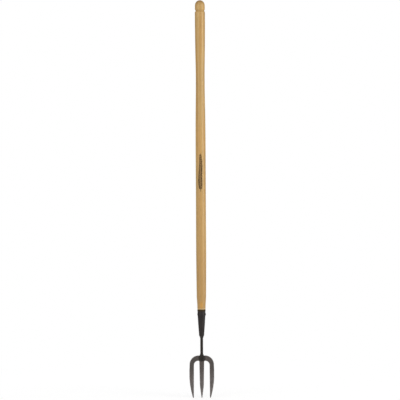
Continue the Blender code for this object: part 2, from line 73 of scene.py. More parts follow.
# Shaft and socket. A sway is how far a turned surface falls short of round
SHAFT_SIDES = 112
SHAFT_END_LENGTH = 60.0 * MM
SHAFT_ROW_SPACING = (0.45 * MM, 3.4 * MM, 1.2 * MM)  # on the top end, along the middle and at the foot
WOOD_SWAY = 0.10 * MM
WOOD_SWAY_SIZE = 18.0 * MM
WOOD_EASE = 0.35 * MM  # rounds the edge where the wood meets the socket
WOOD_GAP = 0.02 * MM
GROOVE_ZONE = (45.0 * MM, 20.0 * MM)  # the turned groove lies between these depths below the top
SOCKET_SIDES = 112
SOCKET_SWAY = 0.07 * MM
SOCKET_SWAY_SIZE = 9.0 * MM
LIP_HEIGHT = 3.6 * MM
LIP_BOTTOM = socket_high.z - LIP_HEIGHT
SOCKET_WEAR = (  # height, spread and strength of each rubbed edge
    (socket_high.z - 0.35 * MM, 0.45 * MM, 1.0),
    (LIP_BOTTOM, 0.5 * MM, 0.4),
    (socket_low.z + 1.2 * MM, 1.6 * MM, 0.35),
)
RIVET_HEIGHT = (rivet_low.z + rivet_high.z) / 2
RIVET_SIDES = 56
RIVET_SHANK = 2.5 * MM
RIVET_HEAD_RADII = (3.6 * MM, 3.2 * MM)  # right and left
RIVET_HEAD_ROWS = 14
RIVET_DENTS = 0.07 * MM
RIVET_DENT_SIZE = 1.9 * MM

# Neck
NECK_SIDES = 56
NECK_RADIUS = -neck_low.y
NECK_BEND_TOP = 178.0 * MM
NECK_BEND_BOTTOM = 126.5 * MM
FOOT_BLEND_TOP = 152.0 * MM
FOOT_FLARE_TOP = 133.0 * MM
FOOT_FLARE_BOTTOM = 122.5 * MM
FOOT_WIDEST = 118.5 * MM
FOOT_BOTTOM = neck_low.z
FOOT_HALF_WIDTH = neck_high.x
FOOT_HALF_THICKNESS = 1.7 * MM
FOOT_END_HALF_THICKNESS = 1.0 * MM
FOOT_SQUARENESS = 3.0
FOOT_SEAT = neck_high.y
NECK_DENT_SIZE = 7.0 * MM
NECK_SQUEEZE = 0.025  # share of its width that the neck loses in a dent
SINK = 0.45 * MM  # how far a joined piece runs into its neighbour

# Head
HEAD_SIDES = 64
CROWN_THICKNESS = 4.8 * MM
CROWN_TOP = yoke_high.z
CROWN_UNDERSIDE = 109.3 * MM
CROWN_OFFSET = yoke_high.y - CROWN_THICKNESS / 2
TINE_SWEEP_TOP = 106.0 * MM
TINE_SWEEP = 17.0 * MM
TINE_SWEEP_POWER = 1.7
TINE_MID_THICKNESS = 5.0 * MM
TINE_THINNING_TOP = 64.0 * MM
TINE_END_THICKNESS = 2.4 * MM
POINT_LENGTH = 3.0 * MM
POINT_THICKNESS = 1.2 * MM
BAR_SQUARENESS = 5.0
TINE_FRONT_SQUARENESS = 1.75
TINE_BACK_SQUARENESS = 3.0
OUTER_CORNER_RADIUS = 27.0 * MM
OUTER_CORNER_X = 9.6 * MM
OUTER_CORNER_Z = CROWN_TOP - OUTER_CORNER_RADIUS
INNER_CORNER_RADIUS = 13.0 * MM
INNER_CORNER_X = 10.5 * MM
INNER_CORNER_Z = CROWN_UNDERSIDE - INNER_CORNER_RADIUS
CORNER_BLADE = 0.45
OUTER_EDGE_X = yoke_high.x
OUTER_SWELL_LENGTH = 18.0 * MM
OUTER_BOW_TOP = 64.0 * MM
OUTER_BOW = 10.4 * MM
OUTER_BOW_POWER = 1.85
INNER_EDGE_TOP_X = 23.5 * MM
INNER_EDGE_TIP_X = 24.1 * MM
OUTER_TIP_X = 26.0 * MM
OUTER_TIP_HALF_WIDTH = 0.7 * MM
BLADE_LENGTH = 40.0 * MM
CENTRE_TOP = centre_high.z
CENTRE_HEAD_HALF_WIDTH = centre_high.x
CENTRE_HEAD_HEIGHT = 3.4 * MM
CENTRE_TOP_HALF_WIDTH = 7.3 * MM
CENTRE_SHOULDER = 36.0 * MM
CENTRE_SHOULDER_HALF_WIDTH = 6.1 * MM
CENTRE_POINT_HALF_WIDTH = 1.6 * MM
SHOULDER_EASE = 0.45 * MM  # rounds the shoulder's corner by about this much
SEAM_THINNING = 0.68  # thickness left where the tine meets the crown's rounded lower edge
CENTRE_TIP_HALF_WIDTH = 0.6 * MM
FORGE_DENTS = 0.16 * MM
FORGE_DENT_SIZES = (9.0 * MM, 3.2 * MM)
WORN_EDGE = 0.84  # share of the half width beyond which an edge is rubbed
WORN_TIP_TOP = 70.0 * MM
SECTION_SAMPLES = 241

# Burned frond on the front of the shaft
FROND_CENTRE = 676.0 * MM
FROND_ACROSS = -0.8 * MM
FROND_HALF_LENGTH = 59.0 * MM
FROND_BOTTOM = -0.97 * FROND_HALF_LENGTH
FROND_TOP = 0.90 * FROND_HALF_LENGTH
FROND_BARE_STEM = 7.0 * MM
FROND_STEM_SWAY = 0.9 * MM
FROND_PROUD = 0.05 * MM
FROND_SUNK = 0.30 * MM
LEAFLET_LENGTH = 8.6 * MM
LEAFLET_WIDTH = 0.195  # in leaflet lengths, as is the pitch
LEAFLET_PITCH = 0.315
LEAFLET_ANGLE = 0.94  # radians from straight up
LEAFLET_BEND = 0.16

# Weld beads
BEAD_ROOT = -0.35  # how far a bead runs into the rod inside it, in bead widths
BEAD_SUNK = -0.30  # how far the foot's bead runs into the crown, in bead heights
SOCKET_BEAD_SIDES = 168
SOCKET_BEAD_PULSES = 15
FOOT_BEAD_PITCH = 1.45 * MM
FOOT_BEAD_TAPER = 3.0 * MM
SEAM_BEAD_PITCH = 1.55 * MM
SEAM_BEAD_SINK = 0.12 * MM

# Wood and steel
PITH_X = -38.0 * MM
PITH_Y = 17.0 * MM
RING_WIDTH = 2.7 * MM
CROWN_SHADE_MIDDLE = (1.2 * MM, 0.0, 117.0 * MM)  # middle of the painted shade on the crown round the foot of the neck

# Floor, light and camera
WHITE = (1.0, 1.0, 1.0, 1.0)
FLOOR_HALF_SIZE = 14.0
FLOOR_GREY = (0.40, 0.40, 0.40, 1.0)
FLOOR_GLOW = 0.66
FLOOR_FADE = (0.25, 1.0)  # the shaded floor turns to plain white between these distances
LIGHT_AIM = (0.0, 0.0, 0.55)
LIGHTS = (  # name, place, width, height, power and whether reflections show it
    ("key", (2.5, -1.5, 1.1), 1.3, 2.0, 40.0, True),
    ("fill", (-2.0, -1.9, 1.0), 1.4, 1.8, 17.0, True),
    ("back", (-0.6, 2.6, 1.2), 1.6, 1.8, 34.0, False),
)
CAMERA_PLACE = (-2.65 * MM, -4.6, 593.6 * MM)
CAMERA_ROLL = 0.31  # degrees, as the fork leans in the photo


# Numbers


def mix(a, b, t):
    """The value a fraction t of the way from a to b."""
    return a + (b - a) * t


def ease(t):
    """A smooth step from 0 to 1 with level ends."""
    t = min(max(t, 0.0), 1.0)
    return t * t * (3.0 - 2.0 * t)


def steps(first, last, count):
    """count values from just after first up to last, evenly spaced."""
    return [mix(first, last, i / count) for i in range(1, count + 1)]


def ripple(distance, pitch):
    """One rounded ridge per pitch, as a weld bead shows them."""
    across = 2.0 * (distance / pitch % 1.0) - 1.0
    return sqrt(max(1.0 - across * across, 0.0))


def dents(point, size, seed=0.0):
    """Soft noise from -1 to 1 whose bumps are about size across."""
    return noise.noise(Vector(point) / size + Vector((seed, 2.0 * seed, -seed)))


def hollows(point, size, seed=0.0):
    """The same noise from 0 to 1, for a surface that may only sink."""
    return 0.5 + 0.5 * dents(point, size, seed)


# Meshes


def linked(name, data):
    """A new object in the scene."""
    obj = bpy.data.objects.new(name, data)
    bpy.context.scene.collection.objects.link(obj)
    return obj


def smooth_object(name, points, faces, crease):
    """A smooth mesh object with its normals outwards. Edges bent by more than crease degrees stay sharp."""
    mesh = bpy.data.meshes.new(name)
    mesh.from_pydata(points, [], faces)
    bm = bmesh.new()
    bm.from_mesh(mesh)
    bmesh.ops.recalc_face_normals(bm, faces=bm.faces)
    bm.to_mesh(mesh)
    bm.free()
    mesh.shade_smooth()
    mesh.set_sharp_from_angle(angle=radians(crease))
    return linked(name, mesh)


def skin(name, rings, wear=None, closed=False, grain=None):
    """A smooth mesh over rings of equal vertex count. closed joins the last ring to the first.

    wear says how rubbed each point is, and grain gives its place across, through and along a bar.
    """
    count = len(rings)
    sides = len(rings[0])
    points = [tuple(point) for ring in rings for point in ring]
    marks = [mark for row in wear for mark in row] if wear else [0.0] * len(points)
    places = [spot for row in grain or rings for spot in row]
    faces = []
    for row in range(count if closed else count - 1):
        here = row * sides
        there = (row + 1) % count * sides
        for i in range(sides):
            j = (i + 1) % sides
            faces.append((here + i, here + j, there + j, there + i))
    if not closed:
        for row in (0, count - 1):
            first = row * sides
            points.append(tuple(np.mean(points[first : first + sides], axis=0)))
            marks.append(marks[first])
            places.append(places[first])
            faces.extend((first + i, first + (i + 1) % sides, len(points) - 1) for i in range(sides))
    obj = smooth_object(name, points, faces, SHARP_EDGE)
    layer = obj.data.attributes.new("wear", "FLOAT", "POINT")
    layer.data.foreach_set("value", marks)
    layer = obj.data.attributes.new("grain", "FLOAT_VECTOR", "POINT")
    layer.data.foreach_set("vector", np.array(places, dtype=np.float32).ravel())
    return obj


def place(obj, node, material):
    """Gives a finished piece its material and puts it on the frame, in place of its CAD node."""
    obj.data.materials.append(material)
    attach(obj, BODY)
    if node:
        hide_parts(node)


@functools.cache
def cad_outline(node):
    """The whole rings of a turned CAD node from the top down: its outer ones and its bored ones.

    Each is (radius, height). Points that are only there for the rivet's hole are left out.
    """
    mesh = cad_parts[node].data
    rings = {}
    for face in mesh.polygons:
        for index in face.vertices:
            point = mesh.vertices[index].co
            key = (round(point.z, 5), round(hypot(point.x, point.y), 5))
            seen, lean = rings.get(key, (0, 0.0))
            lean += face.normal.x * point.x + face.normal.y * point.y
            rings[key] = (seen + 1, lean)
    whole = WHOLE_RING * max(seen for seen, _ in rings.values())
    outer = []
    bored = []
    for (height, radius), (seen, lean) in sorted(rings.items(), reverse=True):
        side = outer if lean > 0.0 else bored
        if seen > whole and (not side or dist(side[-1], (radius, height)) > RING_GAP):
            side.append((radius, height))
    return outer, bored


def outline_radius(node, height):
    """Outer radius of a turned CAD node at a height."""
    rows = sorted((z, r) for r, z in cad_outline(node)[0])
    return float(np.interp(height, [z for z, _ in rows], [r for _, r in rows]))


def groove_height():
    """Height of the bottom of the groove below the shaft's domed end."""
    low, high = (shaft_high.z - depth for depth in GROOVE_ZONE)
    return min((radius, height) for radius, height in cad_outline("ash_shaft")[0] if low < height < high)[1]


def curve_through(keys, spacing):
    """Extra points on a Catmull-Rom curve through 2D keys, about one per spacing."""
    padded = [keys[0], *keys, keys[-1]]
    points = []
    for before, start, end, after in zip(padded, padded[1:], padded[2:], padded[3:]):
        rows = max(2, ceil(dist(start, end) / spacing(start[1])))
        spans = [max(dist(a, b), 1e-9) for a, b in ((before, start), (start, end), (end, after))]
        for row in range(rows):
            t = row / rows
            point = []
            for a, b, c, d in zip(before, start, end, after):
                leave = (c - a) / (spans[0] + spans[1]) * spans[1]
                arrive = (d - b) / (spans[1] + spans[2]) * spans[1]
                rise = b + leave * t + (3.0 * (c - b) - 2.0 * leave - arrive) * t * t
                point.append(rise + (2.0 * (b - c) + leave + arrive) * t**3)
            points.append(tuple(point))
    points.append(keys[-1])
    return points


def softened(keys, spacing, passes):
    """Points along straight lines between 2D keys, with the corners eased by averaging."""
    points = []
    for start, end in zip(keys, keys[1:]):
        rows = max(1, round(dist(start, end) / spacing))
        points.extend(tuple(mix(a, b, row / rows) for a, b in zip(start, end)) for row in range(rows))
    points.append(keys[-1])
    line = np.array(points)
    for _ in range(passes):
        line[1:-1] = (line[:-2] + 2.0 * line[1:-1] + line[2:]) / 4.0
    return [tuple(point) for point in line]


def circle(radius, height, sides, sway=0.0, size=0.02, seed=0.0):
    """A ring round the shaft axis, its radius reduced here and there by up to sway."""
    ring = []
    for i in range(sides):
        angle = tau * i / sides
        x, y = cos(angle), sin(angle)
        dip = hollows((x * radius, y * radius, height * 0.5), size, seed)
        reach = max(radius - sway * dip, 0.0)
        ring.append((x * reach, y * reach, height))
    return ring


# Shaft


def build_shaft():
    """The CAD outline with many more rows, turned, and a little less than perfectly round."""
    outline, _ = cad_outline("ash_shaft")
    shoulder = min(height for _, height in outline if height > socket_high.z)
    widest = max(radius for radius, _ in outline)
    shown = [key for key in outline if key[1] > shoulder + 1e-6]
    tenon = [key for key in outline if key[1] < shoulder - 1e-6]
    at_top, along, at_foot = SHAFT_ROW_SPACING

    def spacing(height):
        if height > shown[0][1] - SHAFT_END_LENGTH:
            return at_top
        return mix(at_foot, along, ease((height - shoulder) / SHAFT_END_LENGTH))

    rows = [(min(radius, widest), height) for radius, height in curve_through(shown, spacing)]
    end_radius = rows[-1][0]
    tenon_radius = tenon[0][0] - WOOD_GAP
    seat = socket_high.z + WOOD_GAP
    rows += [(end_radius, mix(rows[-1][1], seat + WOOD_EASE, 0.5)), (end_radius, seat + WOOD_EASE)]
    rows += [(end_radius - WOOD_EASE, seat), (tenon_radius, seat), (tenon_radius, seat - 1.0 * MM), *tenon]
    rings = [circle(share * rows[0][0], rows[0][1], SHAFT_SIDES) for share in (0.35, 0.75)]
    rings += [circle(radius, height, SHAFT_SIDES, WOOD_SWAY, WOOD_SWAY_SIZE) for radius, height in rows]
    place(skin("turned_shaft", rings), "ash_shaft", ash_wood())


# Frond


def strip(x, y, half, turn):
    """Three points across a leaf or stem: its left edge, its middle and its right edge."""
    return [(x + s * half * cos(turn), y - s * half * sin(turn)) for s in (-1.0, 0.0, 1.0)]


def leaf(base, angle, length, width, bend):
    """A pointed leaf as a grid of (across, up) points. angle is from straight up, and bend adds to it."""
    rows = []
    for i in range(9):
        t = mix(0.04, 0.985, i / 8)
        half = width / 2 * sin(pi * t**0.75) ** 0.8
        turn = angle + bend * t
        x = base[0] + length * t * sin(turn)
        y = base[1] + length * t * cos(turn)
        rows.append(strip(x, y, half, turn))
    return rows


def stem_place(height):
    """Sideways place of the frond's stem at a height above its middle."""
    return FROND_STEM_SWAY * sin(height / FROND_HALF_LENGTH * 1.2 * pi)


def stem():
    """The bent stem as a grid of (across, up) points, thinner towards its top."""
    rows = []
    for share in np.linspace(0.0, 1.0, 60):
        y = mix(FROND_BOTTOM, FROND_TOP, share)
        rows.append(strip(stem_place(y), y, mix(0.60, 0.28, share) * MM, 0.0))
    return rows


def frond_patches():
    """A fern frond: a bent stem, leaflets close together in pairs, and a last leaf at the top."""
    patches = [stem()]
    y = FROND_BOTTOM + FROND_BARE_STEM
    while y < FROND_TOP:
        share = (y - FROND_BOTTOM) / (FROND_TOP - FROND_BOTTOM)
        size = mix(0.66, 1.0, ease(share / 0.20)) * mix(1.0, 0.44, (max(share - 0.22, 0.0) / 0.78) ** 1.6)
        length = LEAFLET_LENGTH * size
        for side in (-1.0, 1.0):
            base = (stem_place(y) + side * mix(0.85, 0.45, share) * MM, y)
            angle = side * LEAFLET_ANGLE
            patches.append(leaf(base, angle, length, LEAFLET_WIDTH * length, -side * LEAFLET_BEND))
        y += LEAFLET_PITCH * length
    base = (stem_place(FROND_TOP), FROND_TOP - 0.4 * MM)
    patches.append(leaf(base, angle=0.0, length=5.2 * MM, width=1.3 * MM, bend=0.0))
    return patches


def on_shaft(across, up, proud):
    """A point of the frond, wrapped round the front of the shaft and proud of it."""
    z = FROND_CENTRE + up
    radius = outline_radius("ash_shaft", z)
    angle = (across + FROND_ACROSS) / radius
    reach = radius + proud
    return (reach * sin(angle), -reach * cos(angle), z)


def slab_faces(height, width, first):
    """Faces of a closed slab: a grid of points on top, the same grid below it, and the rim between."""

    def at(i, j, layer):
        return first + layer * height * width + i * width + j

    faces = []
    for i in range(height - 1):
        for j in range(width - 1):
            faces.append((at(i, j, 0), at(i, j + 1, 0), at(i + 1, j + 1, 0), at(i + 1, j, 0)))
            faces.append((at(i, j, 1), at(i + 1, j, 1), at(i + 1, j + 1, 1), at(i, j + 1, 1)))
    rim = [(0, j) for j in range(width)]
    rim += [(i, width - 1) for i in range(1, height)]
    rim += [(height - 1, j) for j in range(width - 2, -1, -1)]
    rim += [(i, 0) for i in range(height - 2, 0, -1)]
    for (a, b), (c, d) in zip(rim, rim[1:] + rim[:1]):
        faces.append((at(a, b, 0), at(a, b, 1), at(c, d, 1), at(c, d, 0)))
    return faces


def build_frond():
    """Each patch of the frond as a thin closed inlay in the front of the shaft."""
    points = []
    faces = []
    for rows in frond_patches():
        faces += slab_faces(len(rows), len(rows[0]), len(points))
        for proud in (FROND_PROUD, -FROND_SUNK):
            points += [on_shaft(across, up, proud) for row in rows for across, up in row]
    frond = smooth_object("burned_frond", points, faces, FROND_SHARP_EDGE)
    place(frond, None, burned_wood())


# Socket and rivet


def socket_wear(height):
    """How rubbed the socket is at a height."""
    return max(share * exp(-(((height - edge) / spread) ** 2)) for edge, spread, share in SOCKET_WEAR)


def build_socket():
    """The CAD socket's outline, inside and out, with eased corners and worn rims."""
    outside, bored = cad_outline("socket")
    top = [key for key in outside if key[1] > socket_high.z - 0.1 * MM]
    outside = sorted(top) + outside[len(top) :]
    inside = sorted(bored, key=lambda key: (key[1], key[0]))
    rings = []
    wear = []
    for radius, height in softened(outside, 0.45 * MM, 2):
        rings.append(circle(radius, height, SOCKET_SIDES, SOCKET_SWAY, SOCKET_SWAY_SIZE, 3.0))
        wear.append([socket_wear(height)] * SOCKET_SIDES)
    for radius, height in softened(inside, 2.0 * MM, 0):
        rings.append(circle(radius, height, SOCKET_SIDES))
        wear.append([0.0] * SOCKET_SIDES)
    dark, light, bare = (0.0172, 0.0137, 0.0120), (0.0290, 0.0232, 0.0204), (0.17, 0.158, 0.145)
    coat = coated_steel("socket_coat", dark, light, bare, brown=LIP_BOTTOM)
    place(skin("steel_socket", rings, wear, closed=True), "socket", coat)


def rivet_head(collar, reach, radius):
    """(x, radius) from the top of a head's dome down to the shank just inside the collar."""
    rows = []
    for angle in [0.0] + steps(0.0, pi / 2, RIVET_HEAD_ROWS - 1):
        rows.append((mix(collar, reach, cos(angle) ** 0.8), radius * sin(angle) + 1e-5))
    side = copysign(1.0, collar)
    rows.append((collar - side * 0.9 * MM, radius - 0.05 * MM))
    rows.append((collar - side * 1.1 * MM, RIVET_SHANK))
    return rows


def build_rivet():
    """Two peened heads and the shank between them, turned about X."""
    collar = outline_radius("socket", RIVET_HEIGHT)
    rows = rivet_head(collar, rivet_high.x, RIVET_HEAD_RADII[0])
    rows += [(x, RIVET_SHANK) for x in np.linspace(0.7 * collar, -0.7 * collar, 6)]
    rows += reversed(rivet_head(-collar, rivet_low.x, RIVET_HEAD_RADII[1]))
    rings = []
    wear = []
    for x, radius in rows:
        ring = []
        for i in range(RIVET_SIDES):
            angle = tau * i / RIVET_SIDES
            y, z = cos(angle) * radius, sin(angle) * radius
            dip = hollows((x, y, z), RIVET_DENT_SIZE, 7.0)
            shrink = 1.0 - 0.035 * dip
            ring.append((x - copysign(RIVET_DENTS * dip, x), y * shrink, RIVET_HEIGHT + z * shrink))
        rings.append(ring)
        domed = max(0.0, 1.0 - radius / (0.75 * RIVET_HEAD_RADII[0])) * (abs(x) > collar)
        wear.append([domed] * RIVET_SIDES)
    dark, light, bare = (0.026, 0.022, 0.020), (0.045, 0.039, 0.036), (0.32, 0.305, 0.29)
    coat = coated_steel("rivet_coat", dark, light, bare, rough=0.40, metal=0.5)
    place(skin("peened_rivet", rings, wear), "socket_rivet", coat)


# Neck and head


def section(sides, half_width, half_thickness, front_power, back_power):
    """Points (across, depth) round a superellipse, evenly spaced on each half. The back comes first."""
    points = []
    for power, start in ((back_power, 0.0), (front_power, pi)):
        angles = start + np.linspace(0.0, pi, SECTION_SAMPLES)
        c, s = np.cos(angles), np.sin(angles)
        across = half_width * np.sign(c) * np.abs(c) ** (2.0 / power)
        depth = half_thickness * np.sign(s) * np.abs(s) ** (2.0 / power)
        run = np.concatenate(([0.0], np.cumsum(np.hypot(np.diff(across), np.diff(depth)))))
        wanted = np.linspace(0.0, run[-1], sides // 2, endpoint=False)
        points.extend(zip(np.interp(wanted, run, across), np.interp(wanted, run, depth)))
    return points


def neck_half_width(height):
    """The rod, a concave flare, then a foot with a rounded end."""
    if height >= FOOT_WIDEST:
        flare = ease((FOOT_FLARE_TOP - height) / (FOOT_FLARE_TOP - FOOT_FLARE_BOTTOM))
        return mix(NECK_RADIUS, FOOT_HALF_WIDTH, flare)
    drop = (FOOT_WIDEST - height) / (FOOT_WIDEST - FOOT_BOTTOM)
    return FOOT_HALF_WIDTH * sqrt(max(1.0 - drop**2, 0.0))


def neck_ring(height):
    """Section of the neck. Once the rod has flattened, its back stays just inside the crown."""
    bend = ease((NECK_BEND_TOP - height) / (NECK_BEND_TOP - NECK_BEND_BOTTOM))
    flatten = ease((FOOT_BLEND_TOP - height) / (FOOT_BLEND_TOP - NECK_BEND_BOTTOM))
    thinning = ease((FOOT_WIDEST - height) / (FOOT_WIDEST - FOOT_BOTTOM))
    half_thickness = mix(NECK_RADIUS, FOOT_HALF_THICKNESS, flatten)
    half_thickness = mix(half_thickness, FOOT_END_HALF_THICKNESS, thinning)
    depth = bend * (FOOT_SEAT - FOOT_HALF_THICKNESS)
    depth += thinning * (FOOT_HALF_THICKNESS - FOOT_END_HALF_THICKNESS)
    power = mix(2.0, FOOT_SQUARENESS, flatten)
    ring = []
    marks = []
    for across, thick in section(NECK_SIDES, neck_half_width(height), half_thickness, power, power):
        back = max(thick / half_thickness, 0.0)
        x, y, z = across, depth + thick + back * SINK * flatten, height
        dip = hollows((x, y, z), NECK_DENT_SIZE, 11.0)
        ring.append((x * (1.0 - NECK_SQUEEZE * dip), y, z))
        side = abs(across) / max(neck_half_width(height), 1e-6)
        marks.append(0.5 * flatten * max(0.0, side - 0.75) / 0.25)
    return ring, marks


def build_neck():
    """From inside the socket down the bend and the flare to the rounded end of the foot."""
    heights = [neck_high.z, neck_high.z - 8.0 * MM]
    heights += steps(heights[-1], NECK_BEND_TOP, 12)
    heights += steps(NECK_BEND_TOP, FOOT_FLARE_TOP, 60)
    heights += steps(FOOT_FLARE_TOP, FOOT_WIDEST, 36)
    for angle in steps(0.0, pi / 2, 24)[:-1]:
        heights.append(mix(FOOT_WIDEST, FOOT_BOTTOM, sin(angle)))
    rings, wear = zip(*(neck_ring(height) for height in heights))
    dark, light, bare = (0.0135, 0.0100, 0.0072), (0.0245, 0.0188, 0.0140), (0.15, 0.14, 0.13)
    coat = coated_steel("neck_coat", dark, light, bare)
    place(skin("swan_neck", rings, wear), "neck", coat)


def head_depth(height):
    """Depth of the head's middle surface: upright at the crown, then sweeping forward to the tips."""
    drop = max(TINE_SWEEP_TOP - height, 0.0) / TINE_SWEEP_TOP
    return CROWN_OFFSET - TINE_SWEEP * drop**TINE_SWEEP_POWER


def head_thickness(height):
    """Thickness in the middle of the bar, from the crown down to the point of a tine."""
    if height < POINT_LENGTH:
        return mix(POINT_THICKNESS, TINE_END_THICKNESS, sqrt(height / POINT_LENGTH))
    below_crown = ease((TINE_SWEEP_TOP - height) / (TINE_SWEEP_TOP - TINE_THINNING_TOP))
    thickness = mix(CROWN_THICKNESS, TINE_MID_THICKNESS, below_crown)
    thinning = (TINE_THINNING_TOP - height) / (TINE_THINNING_TOP - POINT_LENGTH)
    return mix(thickness, TINE_END_THICKNESS, max(thinning, 0.0))


def forge_dip(x, depth, z, seed):
    """Depth of the hammer marks at a point of the bar: broad ones, with finer ones among them."""
    point = (x, depth * 3.0, z)
    broad, fine = FORGE_DENT_SIZES
    return FORGE_DENTS * (0.72 * hollows(point, broad, seed) + 0.28 * hollows(point, fine, seed + 5.0))


def head_ring(near_edge, far_edge, blade, run, seed):
    """A hammered section between two edge points (x, z), how worn its points are, and their grain.

    blade goes from 0 for a square bar to 1 for a tine, and run is the distance along the bar.
    """
    near = Vector((near_edge[0], 0.0, near_edge[1]))
    far = Vector((far_edge[0], 0.0, far_edge[1]))
    centre = (near + far) / 2
    across = (far - near).normalized()
    half = (far - near).length / 2
    front = mix(BAR_SQUARENESS, TINE_FRONT_SQUARENESS, blade)
    back = mix(BAR_SQUARENESS, TINE_BACK_SQUARENESS, blade)
    ring = []
    marks = []
    grain = []
    for along, depth in section(HEAD_SIDES, half, head_thickness(centre.z) / 2, front, back):
        point = centre + across * along
        point.y = head_depth(point.z)
        dip = forge_dip(point.x, depth, point.z, seed)
        edge = abs(along) / half
        point -= across * copysign(0.5 * dip * edge**4, along)
        point.y += depth - copysign(dip, depth) * (1.0 - edge**4)
        ring.append(tuple(point))
        low = ease((WORN_TIP_TOP - point.z) / WORN_TIP_TOP)
        marks.append(max(0.0, (edge - WORN_EDGE) / (1.0 - WORN_EDGE)) * mix(0.35, 1.0, low))
        grain.append((along, depth, run))
    return ring, marks, grain


def tine_heights(top, rows):
    """Heights from below the top of a tine to its tip, closer together towards the tip."""
    heights = [top * (1.0 - t) ** 1.15 for t in steps(0.0, 1.0, rows)]
    heights = [height for height in heights if height > POINT_LENGTH]
    return heights + [POINT_LENGTH * (1.0 - t) ** 1.6 for t in [0.0] + steps(0.0, 1.0, 10)]


def point_share(height):
    """1 above the rounded point of a tine, falling to 0 at its very tip."""
    return sqrt(1.0 - max(1.0 - height / POINT_LENGTH, 0.0) ** 2)


def outer_tine_edges(height):
    """Inner and outer x of the right-hand tine at a height."""
    bow = max(OUTER_BOW_TOP - height, 0.0) / OUTER_BOW_TOP
    swell = ease((OUTER_CORNER_Z - height) / OUTER_SWELL_LENGTH)
    outer = mix(OUTER_CORNER_X + OUTER_CORNER_RADIUS, OUTER_EDGE_X, swell)
    outer -= OUTER_BOW * bow**OUTER_BOW_POWER
    inner = mix(INNER_EDGE_TIP_X, INNER_EDGE_TOP_X, height / INNER_CORNER_Z)
    share = point_share(height)
    inner = mix(OUTER_TIP_X - OUTER_TIP_HALF_WIDTH, inner, share)
    outer = mix(OUTER_TIP_X + OUTER_TIP_HALF_WIDTH, outer, share)
    return inner, outer


def yoke_stations():
    """(inner point, outer point, blade) from the middle of the crown to the right-hand tip."""
    stations = []
    for x in [0.0] + steps(0.0, OUTER_CORNER_X, 12):
        stations.append(((x, CROWN_UNDERSIDE), (x, CROWN_TOP), 0.0))
    for turn in steps(0.0, 1.0, 46):
        angle = pi / 2 * (1.0 - turn)
        c, s = cos(angle), sin(angle)
        inner = (INNER_CORNER_X + INNER_CORNER_RADIUS * c, INNER_CORNER_Z + INNER_CORNER_RADIUS * s)
        outer = (OUTER_CORNER_X + OUTER_CORNER_RADIUS * c, OUTER_CORNER_Z + OUTER_CORNER_RADIUS * s)
        stations.append((inner, outer, CORNER_BLADE * ease(turn)))
    for height in tine_heights(INNER_CORNER_Z, 92):
        inner, outer = outer_tine_edges(height)
        blade = mix(CORNER_BLADE, 1.0, ease((INNER_CORNER_Z - height) / BLADE_LENGTH))
        stations.append(((inner, height), (outer, height), blade))
    return stations


def build_yoke():
    """One bar from the left tip over the crown to the right tip."""
    right = yoke_stations()
    left = [((-a[0], a[1]), (-b[0], b[1]), blade) for a, b, blade in reversed(right[1:])]
    run = 0.0
    sections = []
    previous = left[0]
    for near, far, blade in left + right:
        run += (dist(near, previous[0]) + dist(far, previous[1])) / 2
        previous = (near, far)
        sections.append(head_ring(near, far, blade, run, 1.0))
    rings, wear, grain = zip(*sections)
    place(skin("bent_yoke", rings, wear, grain=grain), "tine_yoke", tine_steel())


def centre_half_width(height):
    """The flared head, a slow taper to the shoulder, a quicker one to the point, then the tip."""
    rise = (height - CENTRE_TOP) / CENTRE_HEAD_HEIGHT + 1.0
    if rise > 0.0:
        flare = 1.0 - sqrt(max(1.0 - min(rise, 1.0) ** 2, 0.0))
        return mix(CENTRE_TOP_HALF_WIDTH, CENTRE_HEAD_HALF_WIDTH, flare)
    above = (height - CENTRE_SHOULDER) / (CENTRE_TOP - CENTRE_SHOULDER)
    slow = mix(CENTRE_SHOULDER_HALF_WIDTH, CENTRE_TOP_HALF_WIDTH, above)
    above = max(height - POINT_LENGTH, 0.0) / (CENTRE_SHOULDER - POINT_LENGTH)
    quick = mix(CENTRE_POINT_HALF_WIDTH, CENTRE_SHOULDER_HALF_WIDTH, above)
    eased = -SHOULDER_EASE * log(exp(-slow / SHOULDER_EASE) + exp(-quick / SHOULDER_EASE))
    return mix(CENTRE_TIP_HALF_WIDTH, eased, point_share(height))


def build_centre_tine():
    """A straight tine. Its flared head thins at the back and runs a little way into the crown."""
    head_bottom = CENTRE_TOP - CENTRE_HEAD_HEIGHT
    heights = [CENTRE_TOP + 2.0 * SINK, CENTRE_TOP + SINK, CENTRE_TOP]
    heights += [mix(head_bottom, CENTRE_TOP, cos(a)) for a in steps(0.0, pi / 2, 14)]
    heights += tine_heights(head_bottom, 104)
    rings = []
    wear = []
    grains = []
    for height in heights:
        half_width = centre_half_width(height)
        blade = ease((CENTRE_TOP - height) / BLADE_LENGTH)
        ring, marks, grain = head_ring((-half_width, height), (half_width, height), blade, height, 21.0)
        thin = mix(1.0, SEAM_THINNING, ease((height - head_bottom) / CENTRE_HEAD_HEIGHT) ** 2)
        middle = head_depth(height)
        rings.append([(x, middle + (y - middle) * thin, z) for x, y, z in ring])
        wear.append(marks)
        grains.append(grain)
    place(skin("middle_tine", rings, wear, grain=grains), "centre_tine", tine_steel())


# Weld beads


def bead_arc(out_power, up_power):
    """The rounded side of a bead as (out, up), from its full width to its full height."""
    return [(cos(a) ** out_power, sin(a) ** up_power) for a in steps(0.0, pi / 2, 9)]


